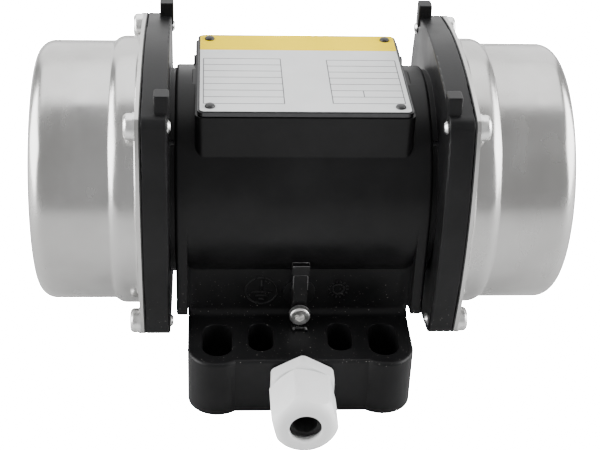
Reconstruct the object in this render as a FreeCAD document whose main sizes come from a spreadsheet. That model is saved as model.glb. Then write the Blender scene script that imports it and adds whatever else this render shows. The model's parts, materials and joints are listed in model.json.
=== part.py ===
import FreeCAD, Part
import math
import os
import re
import Sketcher

# External electric vibration motor: a cast housing with a slotted foot, two bolted end shields,
# a rotor with eccentric weights on both shaft ends, drawn steel caps over the weights, a shallow
# terminal compartment on top and a cable gland in the foot.
# Frame: X along the shaft, Y across the foot (gland towards -Y), Z up from the mounting face.
# Lengths are in millimetres.

SIZES = {
    # housing casting
    "axis_height": 74.0,
    "barrel_radius": 43.5,
    "barrel_half": 50.0,
    "bore_radius": 35.0,
    "end_wall": 4.6,
    "end_wall_corner": 1.5,
    "end_wall_rise": 5.1,
    "recess_fillet": 4.0,
    "pedestal_half_width": 34.5,
    "pedestal_fillet": 3.0,
    "casting_edge": 1.2,
    # foot with four slots on each side
    "foot_half_width": 66.6,
    "foot_thickness": 25.4,
    "foot_ear_radius": 11.9,
    "foot_edge": 1.5,
    "outer_slot_edge": 14.1,
    "outer_slot_width": 12.0,
    "outer_slot_length": 21.0,
    "inner_slot_gap": 17.5,
    "inner_slot_edge": 15.9,
    "inner_slot_width": 10.0,
    "inner_slot_length": 18.5,
    # terminal compartment and its cover
    "box_half_length": 42.2,
    "box_half_width": 34.9,
    "box_corner": 3.5,
    "box_wall": 5.8,
    "seat_above_axis": 43.0,
    "compartment_depth": 13.5,
    "compartment_skin": 3.5,
    "cover_end_step": 0.9,
    "cover_side_step": 0.3,
    "cover_corner": 2.8,
    "cover_gasket": 0.5,
    "cover_thickness": 1.5,
    "cover_screw_edge": 4.8,
    "cover_boss_radius": 4.2,
    "side_lug_y": 20.0,
    "side_lug_radius": 3.2,
    "side_lug_reach": 0.8,
    "plate_thickness": 0.3,
    "plate_margin": 0.9,
    # terminal strip
    "strip_length": 52.0,
    "strip_width": 10.0,
    "strip_height": 8.0,
    "strip_gap": 0.5,
    "post_pitch": 8.0,
    # earth terminal on the front of the pedestal
    "earth_rib_depth": 6.5,
    "earth_rib_half_width": 2.9,
    "earth_rib_rise": 2.3,
    "earth_block_half_width": 3.6,
    "earth_block_height": 3.6,
    "earth_boss_radius": 6.6,
    "earth_head_radius": 4.2,
    "earth_head_height": 2.6,
    "saddle_half_width": 3.0,
    "saddle_reach": 5.6,
    "prong_width": 1.0,
    "prong_height": 1.2,
    "prong_reach": 7.0,
    # end shields
    "shield_gap": 2.3,
    "flange_thickness": 10.0,
    "flange_rim": 0.45,
    "flange_bulge": 6.5,
    "flange_corner_radius": 5.2,
    "flange_edge": 0.8,
    "neck_step": 1.5,
    "spigot_length": 4.0,
    "spigot_wall": 4.5,
    "hub_wall": 5.5,
    "hub_lip": 2.5,
    "lug_length": 5.7,
    "lug_proud": 0.8,
    "lug_inset": 5.9,
    "lug_width": 6.4,
    "lug_rise": 1.75,
    "shield_screw_depth": 10.0,
    # caps
    "cap_gasket": 0.5,
    "cap_plate": 1.4,
    "cap_wall": 1.2,
    "cap_radius": 52.9,
    "cap_step": 2.0,
    "cap_skirt": 5.8,
    "cap_step_length": 4.6,
    "cap_space": 6.3,
    "cap_end_radius": 7.0,
    "cap_screw_edge": 4.35,
    # screws
    "m5_radius": 2.5,
    "m5_head_radius": 5.0,
    "m5_head_height": 3.5,
    "m5_washer_radius": 5.4,
    "washer_thickness": 0.8,
    "m4_radius": 2.0,
    "m4_head_radius": 3.3,
    "m4_head_height": 2.2,
    "screw_clearance": 0.3,
    "m5_recess_radius": 2.1,
    "m4_recess_radius": 1.4,
    "recess_depth": 1.6,
    # ball bearings
    "bearing_bore": 8.5,
    "bearing_radius": 20.0,
    "bearing_width": 12.0,
    "bearing_inset": 2.5,
    "bearing_pitch": 14.25,
    "race_shoulder": 2.35,
    "ball_radius": 3.375,
    "race_clearance": 0.055,
    "cage_clearance": 0.05,
    "cage_half_thickness": 1.3,
    "cage_width": 8.4,
    "seal_bore": 10.8,
    # shaft and rotor
    "shaft_middle_radius": 10.0,
    "shaft_end_radius": 8.0,
    "shaft_tail": 1.9,
    "air_gap": 0.4,
    "rotor_radius": 20.0,
    "core_half_length": 25.0,
    "end_ring_length": 6.0,
    "end_ring_wall": 6.0,
    "slot_circle": 26.5,
    "slot_radius": 3.0,
    "coil_radius": 2.8,
    "end_turn_length": 11.0,
    "end_turn_inner": 22.5,
    "end_turn_outer": 32.5,
    # eccentric weights
    "spacer_radius": 10.3,
    "weight_gap": 4.2,
    "weight_thickness": 13.0,
    "weight_swing_gap": 5.7,
    "weight_hub_radius": 15.0,
    "weight_half_angle": 80.0,
    "weight_washer": 1.0,
    "weight_washer_radius": 12.0,
    "weight_play": 0.2,
    "running_fit": 0.04,
    "key_width": 5.0,
    "key_height": 4.6,
    "clamp_slit": 2.0,
    "clamp_height": 11.7,
    "clamp_radius": 2.0,
    "clamp_head_radius": 3.5,
    "circlip_thickness": 1.2,
    "circlip_depth": 0.8,
    # cable gland
    "gland_height": 15.0,
    "gland_thread_radius": 10.0,
    "gland_thread_length": 9.0,
    "gland_gasket": 1.0,
    "gland_hex_radius": 14.4,
    "gland_hex_length": 5.6,
    "gland_hex_corner": 3.0,
    "gland_neck_gap": 0.9,
    "gland_spigot_length": 12.4,
    "gland_bore": 6.6,
    "gland_seat_bore": 8.3,
    "gland_wall": 1.7,
    "dome_hex_radius": 13.9,
    "dome_hex_corner": 2.0,
    "dome_turn": 15.0,
    "dome_length": 21.4,
    "dome_front_radius": 8.2,
    "dome_round": 5.2,
    "dome_opening": 6.2,
    "dome_lip": 1.5,
    "dome_lip_round": 0.9,
    "seal_radius_inside": 5.0,
    "seal_nose_radius": 7.0,
    "seal_length": 16.1,
    "duct_radius": 6.0,
}

STATOR_SLOTS = 12
BALLS = 8

document = FreeCAD.newDocument("VibrationMotor")
sheet = document.addObject("Spreadsheet::Sheet", "Sizes")
for row, (name, size) in enumerate(SIZES.items(), start=1):
    sheet.set("A%d" % row, name)
    sheet.set("B%d" % row, str(size))
    sheet.setAlias("B%d" % row, name)
document.recompute()

SIZE_WORD = re.compile(r"\b(%s)\b" % "|".join(sorted(SIZES, key=len, reverse=True)))
parts = []


def bound(formula):
    """The formula with each size read from the sheet."""
    return SIZE_WORD.sub(r"Sizes.\1", str(formula))


def value(formula):
    """The formula's number now."""
    result = sheet.evalExpression(bound(formula))
    return float(getattr(result, "Value", result))


def bind(thing, prop, formula):
    thing.setExpression(prop, bound(formula))


# ---------------------------------------------------------------- sketches and features

def new_body(label):
    """A sub-part: its Label names its file."""
    body = document.addObject("PartDesign::Body", label)
    body.Label = label
    parts.append(body)
    return body


def origin_item(body, role):
    return next(item for item in body.Origin.OriginFeatures if item.Role == role)


def fix(sketch, kind, geometry, point, formula):
    """One bound distance of a sketch point from the sketch's origin."""
    index = sketch.addConstraint(Sketcher.Constraint(kind, -1, 1, geometry, point, value(formula)))
    sketch.setExpression("Constraints[%d]" % index, bound(formula))


def add_circle(sketch, centre_x, centre_y, radius):
    centre = FreeCAD.Vector(value(centre_x), value(centre_y), 0)
    circle = Part.Circle(centre, FreeCAD.Vector(0, 0, 1), value(radius))
    geometry = sketch.addGeometry(circle)
    fix(sketch, "DistanceX", geometry, 3, centre_x)
    fix(sketch, "DistanceY", geometry, 3, centre_y)
    index = sketch.addConstraint(Sketcher.Constraint("Radius", geometry, value(radius)))
    sketch.setExpression("Constraints[%d]" % index, bound(radius))


def add_edge(sketch, here, there):
    """The line or arc from one corner to the next, with its start and end point numbers."""
    start = FreeCAD.Vector(value(here[0]), value(here[1]), 0)
    end = FreeCAD.Vector(value(there[0]), value(there[1]), 0)
    if len(here) == 2:
        return sketch.addGeometry(Part.LineSegment(start, end)), 1, 2
    centre = FreeCAD.Vector(value(here[2]), value(here[3]), 0)
    circle = Part.Circle(centre, FreeCAD.Vector(0, 0, 1), (start - centre).Length)
    first, last = [math.atan2((p - centre).y, (p - centre).x) for p in (start, end)]
    if here[4] < 0:
        first, last = last, first
    if last < first:
        last += 2 * math.pi
    geometry = sketch.addGeometry(Part.ArcOfCircle(circle, first, last))
    return (geometry, 1, 2) if here[4] > 0 else (geometry, 2, 1)


def add_loop(sketch, corners):
    """A closed outline. A corner is (x, y), or (x, y, centre x, centre y, turn) before an arc."""
    count = len(corners)
    edges = [add_edge(sketch, corners[i], corners[(i + 1) % count]) for i in range(count)]
    for i, corner in enumerate(corners):
        geometry, start, _ = edges[i]
        before, _, end = edges[i - 1]
        sketch.addConstraint(Sketcher.Constraint("Coincident", before, end, geometry, start))
        fix(sketch, "DistanceX", geometry, start, corner[0])
        fix(sketch, "DistanceY", geometry, start, corner[1])
        if len(corner) > 2:
            following = corners[(i + 1) % count]
            across = abs(value(following[0]) - value(corner[0]))
            along = abs(value(following[1]) - value(corner[1]))
            if across > along:
                fix(sketch, "DistanceY", geometry, 3, corner[3])
            else:
                fix(sketch, "DistanceX", geometry, 3, corner[2])


def new_sketch(body, role, name, loops, offset="0"):
    """A sketch on one of the body's own planes, moved along that plane's normal."""
    sketch = body.newObject("Sketcher::SketchObject", name)
    sketch.AttachmentSupport = [(origin_item(body, role), "")]
    sketch.MapMode = "FlatFace"
    sketch.AttachmentOffset = FreeCAD.Placement(FreeCAD.Vector(0, 0, value(offset)), FreeCAD.Rotation())
    bind(sketch, "AttachmentOffset.Base.z", offset)
    for loop in loops:
        if loop[0] == "circle":
            add_circle(sketch, *loop[1:])
        else:
            add_loop(sketch, loop)
    return sketch


def pad(body, name, role, loops, start, length):
    """Material from start, along the plane's normal."""
    feature = body.newObject("PartDesign::Pad", name)
    feature.Profile = new_sketch(body, role, name + "_sketch", loops, start)
    bind(feature, "Length", length)
    document.recompute()
    return feature


def pocket(body, name, role, loops, start, depth, forwards=False):
    """A cut from start, against the plane's normal, or along it when forwards is set."""
    before = body.Shape.Volume
    feature = body.newObject("PartDesign::Pocket", name)
    feature.Profile = new_sketch(body, role, name + "_sketch", loops, start)
    feature.Reversed = forwards
    bind(feature, "Length", depth)
    document.recompute()
    if body.Shape.Volume >= before:
        raise RuntimeError(name + " cuts nothing")
    return feature


def revolve(body, name, loop, cut=False):
    """A profile of (x, radius) corners turned about the body's X axis."""
    kind = "PartDesign::Groove" if cut else "PartDesign::Revolution"
    feature = body.newObject(kind, name)
    sketch = new_sketch(body, "XY_Plane", name + "_sketch", [loop])
    feature.Profile = sketch
    feature.ReferenceAxis = (sketch, ["H_Axis"])
    feature.Angle = 360
    document.recompute()
    return feature


def polar(body, name, feature, count):
    """Copies of a feature, evenly spaced about the body's X axis."""
    pattern = body.newObject("PartDesign::PolarPattern", name)
    pattern.Originals = [feature]
    pattern.Axis = (origin_item(body, "X_Axis"), [""])
    pattern.Angle = 360
    pattern.Occurrences = count
    body.Tip = pattern
    document.recompute()
    return pattern


def dress(body, kind, name, size, chosen):
    """A fillet or chamfer on the edges that chosen() picks."""
    base = body.Tip
    edges = ["Edge%d" % (i + 1) for i, edge in enumerate(base.Shape.Edges) if chosen(edge)]
    if not edges:
        raise RuntimeError(name + " finds no edge")
    feature = body.newObject("PartDesign::" + kind, name)
    feature.Base = (base, edges)
    bind(feature, "Radius" if kind == "Fillet" else "Size", size)
    document.recompute()
    if not feature.isValid():
        raise RuntimeError(name + " failed")
    return feature


def is_circle_at(edge, x, radius, tolerance=0.02):
    """True for a full circle about the X axis at one place and radius."""
    curve = edge.Curve
    if not isinstance(curve, Part.Circle) or abs(abs(curve.Axis.x) - 1) > 1e-6:
        return False
    centre = curve.Center
    off_axis = math.hypot(centre.y, centre.z)
    return off_axis < tolerance and abs(centre.x - x) < tolerance and abs(curve.Radius - radius) < tolerance


def is_line_along(edge, axis):
    """True for a straight edge along X, Y or Z."""
    if not isinstance(edge.Curve, Part.Line):
        return False
    direction = edge.Curve.Direction
    return abs(abs(getattr(direction, axis.lower())) - 1) < 1e-6


def middle(edge):
    return edge.valueAt((edge.FirstParameter + edge.LastParameter) / 2)


def stand(body, turn, x="0", y="0", z="axis_height"):
    """The sub-part's Placement: a turn about Z in degrees, then a place bound to the sheet."""
    body.Placement = FreeCAD.Placement(
        FreeCAD.Vector(value(x), value(y), value(z)),
        FreeCAD.Rotation(FreeCAD.Vector(0, 0, 1), turn))
    bind(body, "Placement.Base.x", x)
    bind(body, "Placement.Base.y", y)
    bind(body, "Placement.Base.z", z)
    document.recompute()


# ---------------------------------------------------------------- outlines

def rectangle(low_x, low_y, high_x, high_y):
    return [(low_x, low_y), (high_x, low_y), (high_x, high_y), (low_x, high_y)]


def rounded_rectangle(half_x, half_y, radius, centre_x="0", centre_y="0"):
    left, right = "(%s - %s)" % (centre_x, half_x), "(%s + %s)" % (centre_x, half_x)
    low, high = "(%s - %s)" % (centre_y, half_y), "(%s + %s)" % (centre_y, half_y)
    near_left, near_right = "(%s + %s)" % (left, radius), "(%s - %s)" % (right, radius)
    near_low, near_high = "(%s + %s)" % (low, radius), "(%s - %s)" % (high, radius)
    return [
        (near_left, low), (near_right, low, near_right, near_low, 1),
        (right, near_low), (right, near_high, near_right, near_high, 1),
        (near_right, high), (near_left, high, near_left, near_high, 1),
        (left, near_high), (left, near_low, near_left, near_low, 1),
    ]


def slot_outline(centre_x, centre_y, width, length):
    """A slot with round ends, long along Y."""
    left = "(%s - %s / 2)" % (centre_x, width)
    right = "(%s + %s / 2)" % (centre_x, width)
    low = "(%s - (%s - %s) / 2)" % (centre_y, length, width)
    high = "(%s + (%s - %s) / 2)" % (centre_y, length, width)
    return [(left, low, centre_x, low, 1), (right, low), (right, high, centre_x, high, 1), (left, high)]


FLANGE_MIDDLE = "(cap_radius + cap_step + flange_rim)"
FLANGE_CORNER = "(%s - flange_bulge)" % FLANGE_MIDDLE
FLANGE_ARC_CENTRE = "((%s^2 + flange_bulge^2) / (2 * flange_bulge) - %s)" % (FLANGE_CORNER, FLANGE_MIDDLE)
CAP_SCREW = "(%s - cap_screw_edge)" % FLANGE_CORNER
SHIELD_SCREW = "((bore_radius + barrel_radius) / (2 * sqrt(2)))"


def bulged_square():
    """Four shallow arcs that meet at the corners: the outline of a shield and its cap."""
    c = FLANGE_CORNER
    k = FLANGE_ARC_CENTRE
    return [
        (c, "-" + c, "-" + k, "0", 1), (c, c, "0", "-" + k, 1),
        ("-" + c, c, k, "0", 1), ("-" + c, "-" + c, "0", k, 1),
    ]


def four_corners(offset):
    return [(a + offset, b + offset) for a in ("", "-") for b in ("", "-")]


def cover_screw_places():
    return [(a + COVER_SCREW_X, b + COVER_SCREW_Y) for a in ("", "-") for b in ("", "-")]


def circles(centres, radius):
    return [("circle", x, y, radius) for x, y in centres]


def hexagon(radius, turn="0"):
    """A regular hexagon with a corner on the second axis, or turned from there."""
    return [
        ("%s * cos(%d + %s)" % (radius, angle, turn), "%s * sin(%d + %s)" % (radius, angle, turn))
        for angle in range(30, 390, 60)
    ]


# ---------------------------------------------------------------- derived places along the shaft

FLANGE_INNER = "(barrel_half + shield_gap)"
FLANGE_OUTER = "(barrel_half + shield_gap + flange_thickness)"
CAP_PLATE_INNER = "(%s + cap_gasket)" % FLANGE_OUTER
CAP_PLATE_OUTER = "(%s + cap_plate)" % CAP_PLATE_INNER
BEARING_START = "(barrel_half - bearing_inset)"
BEARING_END = "(%s + bearing_width)" % BEARING_START
BEARING_MIDDLE = "(%s + bearing_width / 2)" % BEARING_START
HUB_END = "(%s - hub_lip)" % BEARING_START
HUB_RADIUS = "(bearing_radius + hub_wall)"
NECK_RADIUS = "(barrel_radius - neck_step)"
FIXED_WEIGHT_START = "(%s + weight_gap)" % FLANGE_OUTER
FIXED_WEIGHT_END = "(%s + weight_thickness)" % FIXED_WEIGHT_START
WEIGHT_RADIUS = "(cap_radius - cap_wall - weight_swing_gap)"
WASHER_END = "(%s + weight_washer)" % FIXED_WEIGHT_END
LOOSE_WEIGHT_START = "(%s + weight_play)" % WASHER_END
LOOSE_WEIGHT_END = "(%s + weight_thickness)" % LOOSE_WEIGHT_START
STOP_WASHER_START = "(%s + weight_play)" % LOOSE_WEIGHT_END
STOP_WASHER_END = "(%s + weight_washer)" % STOP_WASHER_START
SHAFT_CLIP_END = "(%s + circlip_thickness)" % STOP_WASHER_END
SHAFT_END = "(%s + shaft_tail)" % SHAFT_CLIP_END
CAP_INSIDE_END = "(%s + cap_space)" % SHAFT_END
CAP_END = "(%s + cap_wall)" % CAP_INSIDE_END
CAP_STEP_START = "(%s + cap_skirt)" % CAP_PLATE_OUTER
FOOT_HALF_LENGTH = "(barrel_half - end_wall)"
OUTER_SLOT_X = "(%s - foot_ear_radius)" % FOOT_HALF_LENGTH
INNER_SLOT_X = "(%s - inner_slot_gap)" % OUTER_SLOT_X
OUTER_SLOT_Y = "(foot_half_width - outer_slot_edge)"
INNER_SLOT_Y = "(foot_half_width - inner_slot_edge)"
EAR_Y = "(%s + (outer_slot_length - outer_slot_width) / 2)" % OUTER_SLOT_Y
EAR_CHORD = "sqrt(foot_ear_radius^2 - (foot_half_width - %s)^2)" % EAR_Y
SEAT = "(axis_height + seat_above_axis)"
COVER_BOTTOM = "(%s + cover_gasket)" % SEAT
COVER_TOP = "(%s + cover_thickness)" % COVER_BOTTOM
COVER_X = "(box_half_length - cover_end_step)"
COVER_Y = "(box_half_width - cover_side_step)"
COVER_SCREW_X = "(%s - cover_screw_edge)" % COVER_X
COVER_SCREW_Y = "(%s - cover_screw_edge)" % COVER_Y
STRIP_Y = "(box_half_width - box_wall - strip_gap - strip_width / 2)"
EARTH_Y = "(pedestal_half_width + earth_rib_depth)"
EARTH_Z = "(foot_thickness + earth_head_radius + washer_thickness + 2 * screw_clearance)"
CREASE = "(axis_height - sqrt(barrel_radius^2 - pedestal_half_width^2))"
EARTH_RIB_TOP = "(%s + earth_rib_rise)" % CREASE


# ---------------------------------------------------------------- housing

def foot_outline():
    """A straight-sided foot whose corners swell round the outer slots."""
    x, y, c = FOOT_HALF_LENGTH, EAR_Y, "(%s - %s)" % (OUTER_SLOT_X, EAR_CHORD)
    w = "foot_half_width"
    s = OUTER_SLOT_X
    return [
        (x, "-" + y), (x, y, s, y, 1),
        (c, w), ("-" + c, w, "-" + s, y, 1),
        ("-" + x, y), ("-" + x, "-" + y, "-" + s, "-" + y, 1),
        ("-" + c, "-" + w), (c, "-" + w, s, "-" + y, 1),
    ]


def mounting_slots():
    loops = []
    for kind, x, y in (("outer", OUTER_SLOT_X, OUTER_SLOT_Y), ("inner", INNER_SLOT_X, INNER_SLOT_Y)):
        for side_x, side_y in ((a, b) for a in ("", "-") for b in ("", "-")):
            loops.append(slot_outline(side_x + x, side_y + y, kind + "_slot_width", kind + "_slot_length"))
    return loops


def make_housing():
    body = new_body("housing")
    h = "axis_height"
    r = "barrel_radius"
    low = "(foot_thickness + end_wall_rise)"
    inset, rise = "(%s - end_wall_corner)" % r, "(%s + end_wall_corner)" % low
    end_wall = [
        ("-" + r, h), ("-" + r, rise, "-" + inset, rise, 1), ("-" + inset, low),
        (inset, low, inset, rise, 1), (r, rise), (r, h, "0", h, 1),
    ]
    inner = FOOT_HALF_LENGTH
    pad(body, "barrel", "YZ_Plane", [("circle", "0", h, r)], "-" + inner, "2 * " + inner)
    pad(body, "left_end_wall", "YZ_Plane", [end_wall], "-barrel_half", "end_wall")
    pad(body, "right_end_wall", "YZ_Plane", [end_wall], inner, "end_wall")
    pad(body, "pedestal", "XY_Plane",
        [rectangle("-" + FOOT_HALF_LENGTH, "-pedestal_half_width", FOOT_HALF_LENGTH, "pedestal_half_width")],
        "foot_thickness - casting_edge", "axis_height - foot_thickness")
    wall_bottom = value(low)
    dress(body, "Fillet", "recess_corners", "recess_fillet", lambda edge: (
        is_line_along(edge, "Z") and middle(edge).z > wall_bottom
        and abs(abs(middle(edge).y) - value("pedestal_half_width")) < 0.01))
    dress(body, "Fillet", "end_wall_edges", "casting_edge", lambda edge: (
        abs(abs(edge.BoundBox.XMin) - value("barrel_half")) < 0.01 and edge.BoundBox.XLength < 0.01))
    pad(body, "foot", "XY_Plane", [foot_outline()], "0", "foot_thickness")
    dress(body, "Fillet", "pedestal_root", "pedestal_fillet", lambda edge: (
        is_line_along(edge, "X") and abs(middle(edge).z - value("foot_thickness")) < 0.01
        and abs(abs(middle(edge).y) - value("pedestal_half_width")) < 0.01))
    dress(body, "Fillet", "foot_top_edge", "foot_edge", lambda edge: (
        edge.BoundBox.ZLength < 0.01 and abs(middle(edge).z - value("foot_thickness")) < 0.01
        and abs(middle(edge).y) > value("pedestal_half_width + pedestal_fillet + foot_edge")))
    pad(body, "box", "XY_Plane", [rounded_rectangle("box_half_length", "box_half_width", "box_corner")],
        h, "seat_above_axis")
    seat_x, seat_y = "(box_half_length + casting_edge)", "(box_half_width - casting_edge)"
    pocket(body, "seat_flat", "XY_Plane", [rectangle("-" + seat_x, "-" + seat_y, seat_x, seat_y)],
           h + " + barrel_radius + casting_edge", "barrel_radius + casting_edge - seat_above_axis")
    inside = rounded_rectangle("(box_half_length - box_wall)", "(box_half_width - box_wall)", "box_corner")
    pocket(body, "compartment", "XY_Plane", [inside], SEAT, "compartment_depth")
    pad(body, "cover_bosses", "XY_Plane",
        circles(cover_screw_places(), "cover_boss_radius"),
        SEAT + " - compartment_depth", "compartment_depth")
    pad(body, "barrel_skin", "YZ_Plane", [("circle", "0", h, "bore_radius + compartment_skin")],
        "-box_half_length", "2 * box_half_length")
    pocket(body, "stator_bore", "YZ_Plane", [("circle", "0", h, "bore_radius")],
           "barrel_half", "2 * barrel_half")
    pocket(body, "cover_screw_holes", "XY_Plane",
           circles(cover_screw_places(), "m4_radius"),
           SEAT, "compartment_depth - m4_radius")
    for name, start, forwards in (("right", "barrel_half", False), ("left", "-barrel_half", True)):
        holes = circles([(y, "%s + %s" % (h, z)) for y, z in four_corners(SHIELD_SCREW)], "m5_radius")
        pocket(body, name + "_shield_holes", "YZ_Plane", holes, start, "shield_screw_depth", forwards)
    make_side_lugs(body)
    pocket(body, "slots", "XY_Plane", mounting_slots(), "foot_thickness", "foot_thickness")
    make_cable_duct(body)
    make_earth_boss(body)
    return body


def make_side_lugs(body):
    """Small round lugs on the compartment's sides, behind its middle."""
    for side in ("", "-"):
        start = "box_half_length - box_wall" if side == "" else "-(box_half_length + side_lug_reach)"
        pad(body, "side_lug" + ("_right" if side == "" else "_left"), "YZ_Plane",
            [("circle", "side_lug_y", SEAT + " - side_lug_radius - cover_gasket", "side_lug_radius")],
            start, "box_wall + side_lug_reach")


def make_cable_duct(body):
    """The gland's threaded hole and the duct that leads its cable up into the housing."""
    pocket(body, "gland_thread", "XZ_Plane", [("circle", "0", "gland_height", "gland_thread_radius")],
           "foot_half_width", "gland_thread_length + gland_gasket")
    pocket(body, "duct", "XZ_Plane", [("circle", "0", "gland_height", "duct_radius")],
           "foot_half_width", "foot_half_width + duct_radius")
    pocket(body, "riser", "XY_Plane", [("circle", "0", "0", "duct_radius")],
           "axis_height - bore_radius + duct_radius", "axis_height - bore_radius + duct_radius - gland_height")


def make_earth_boss(body):
    """A stepped rib on the pedestal that carries the outside earth screw."""
    root = "pedestal_half_width - casting_edge"
    pad(body, "earth_boss", "XZ_Plane",
        [("circle", "0", "(foot_thickness + %s) / 2" % CREASE, "earth_boss_radius")],
        root, "2 * casting_edge")
    half, top = "earth_rib_half_width", EARTH_RIB_TOP
    pad(body, "earth_rib", "XZ_Plane",
        [rectangle("-" + half, "foot_thickness - casting_edge", half, top)],
        root, "earth_rib_depth + casting_edge")
    half = "earth_block_half_width"
    pad(body, "earth_block", "XZ_Plane",
        [rectangle("-" + half, "%s - casting_edge / 2" % top, half, "%s + earth_block_height" % top)],
        root, "earth_rib_depth + 3 * casting_edge / 2")
    pocket(body, "earth_screw_hole", "XZ_Plane", [("circle", "0", EARTH_Z, "m5_radius")],
           EARTH_Y, "shield_screw_depth")


# ---------------------------------------------------------------- end shields and caps

def round_corners(body, name, low_x, high_x):
    """The flange's four corner edges, at the cap screws."""
    corner = value(FLANGE_CORNER)
    dress(body, "Fillet", name, "flange_corner_radius", lambda edge: (
        is_line_along(edge, "X") and low_x < middle(edge).x < high_x
        and abs(abs(middle(edge).y) - corner) < 0.01 and abs(abs(middle(edge).z) - corner) < 0.01))


def make_end_shield(side, turn):
    body = new_body(side + "_end_shield")
    pad(body, "flange", "YZ_Plane", [bulged_square()], FLANGE_INNER, "flange_thickness")
    round_corners(body, "flange_corners", value(FLANGE_INNER), value(FLANGE_OUTER))
    dress(body, "Fillet", "flange_edges", "flange_edge", lambda edge: edge.BoundBox.XLength < 0.01)
    lug_x = "(%s - lug_proud + lug_length / 2)" % FLANGE_INNER
    lug_y = "(%s - lug_inset + lug_width / 2)" % CAP_SCREW
    lug_root = "(%s + m5_radius + 2 * screw_clearance)" % CAP_SCREW
    lug_top = "(%s + lug_rise)" % FLANGE_MIDDLE
    lugs = [rounded_rectangle("lug_length / 2", "lug_width / 2", "flange_edge", lug_x, way + lug_y)
            for way in ("", "-")]
    pad(body, "lugs", "XY_Plane", lugs, lug_root, "%s - %s" % (lug_top, lug_root))
    top = value(lug_top)
    dress(body, "Fillet", "lug_tops", "flange_edge / 2", lambda edge: edge.BoundBox.ZMin > top - 0.01)
    spigot = "bore_radius - running_fit"
    spigot_inside = "bore_radius - spigot_wall"
    spigot_end = "barrel_half - spigot_length"
    sunk = FLANGE_INNER + " + casting_edge"
    revolve(body, "neck_spigot_hub", [
        (sunk, NECK_RADIUS), ("barrel_half", NECK_RADIUS), ("barrel_half", spigot),
        (spigot_end, spigot), (spigot_end, spigot_inside), ("barrel_half", spigot_inside),
        ("barrel_half", HUB_RADIUS), (HUB_END, HUB_RADIUS), (HUB_END, "bearing_radius"),
        (sunk, "bearing_radius"),
    ])
    before, after = HUB_END + " - casting_edge", FLANGE_OUTER + " + casting_edge"
    revolve(body, "bearing_seat", [
        (before, "0"), (before, "bearing_radius"), (BEARING_END, "bearing_radius"),
        (BEARING_END, "seal_bore"), (after, "seal_bore"), (after, "0"),
    ], cut=True)
    groove = BEARING_START + " - circlip_thickness"
    shallow, deep = "bearing_radius - casting_edge", "bearing_radius + circlip_depth"
    revolve(body, "clip_groove", [
        (groove, shallow), (groove, deep), (BEARING_START, deep), (BEARING_START, shallow),
    ], cut=True)
    pocket(body, "cap_screw_holes", "YZ_Plane", circles(four_corners(CAP_SCREW), "m5_radius"),
           FLANGE_OUTER, "flange_thickness")
    centres = four_corners(SHIELD_SCREW)
    pocket(body, "shield_screw_holes", "YZ_Plane", circles(centres, "m5_radius + screw_clearance"),
           FLANGE_OUTER, "flange_thickness + shield_gap")
    pocket(body, "shield_screw_seats", "YZ_Plane", circles(centres, "m5_head_radius + screw_clearance"),
           FLANGE_OUTER, "m5_head_height")
    stand(body, turn)


def make_screws(label, role, centres, seat, head, crown_radius, shank, recess=None):
    """A set of equal pan-head screws: heads along the plane's normal, shanks against it."""
    head_radius, head_height = head
    shank_radius, shank_length = shank
    body = new_body(label)
    pad(body, "heads", role, circles(centres, head_radius), seat, head_height)
    crown = value("%s + %s" % (seat, head_height))
    normal = {"YZ_Plane": "x", "XY_Plane": "z"}[role]
    dress(body, "Fillet", "crowns", crown_radius, lambda edge: (
        isinstance(edge.Curve, Part.Circle) and abs(getattr(middle(edge), normal) - crown) < 0.01))
    pad(body, "shanks", role, circles(centres, shank_radius),
        "%s - %s" % (seat, shank_length), shank_length)
    tip = value("%s - %s" % (seat, shank_length))
    dress(body, "Chamfer", "points", shank_radius + " / 3", lambda edge: (
        isinstance(edge.Curve, Part.Circle) and abs(getattr(middle(edge), normal) - tip) < 0.01))
    if recess:
        sockets = [[("%s + %s" % (x, a), "%s + %s" % (y, b)) for a, b in hexagon(recess)]
                   for x, y in centres]
        pocket(body, "sockets", role, sockets, "%s + %s" % (seat, head_height), "recess_depth")
    return body


def make_washers(label, role, centres, seat, inner, outer):
    body = new_body(label)
    pad(body, "rings", role, circles(centres, outer) + circles(centres, inner), seat, "washer_thickness")
    return body


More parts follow.
